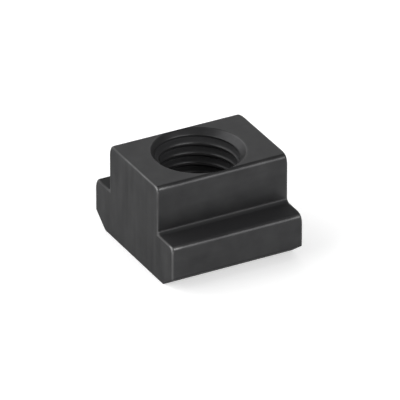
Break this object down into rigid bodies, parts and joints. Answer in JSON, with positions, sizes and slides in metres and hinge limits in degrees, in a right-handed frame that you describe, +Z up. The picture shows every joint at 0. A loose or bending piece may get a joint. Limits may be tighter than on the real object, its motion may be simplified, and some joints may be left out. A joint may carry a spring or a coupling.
{
  "type": "t slot nut",
  "caption": "T-shaped steel block with a threaded hole down through its neck; it slides in a machine table's T-slot and takes a clamping stud.",
  "frame": {"origin": "middle of the underside, on the axis of the threaded hole", "axes": "+X along the slot, +Y across the slot, +Z up out of the slot along the threaded hole"},
  "size_m": [0.0198, 0.0222, 0.0139],
  "materials": {
    "black_oxide_steel": "black oxide, satin, fine machining lines on the ends"
  },
  "bodies": {
    "root": {"t_slot_nut": "black_oxide_steel"}
  },
  "joints": []
}
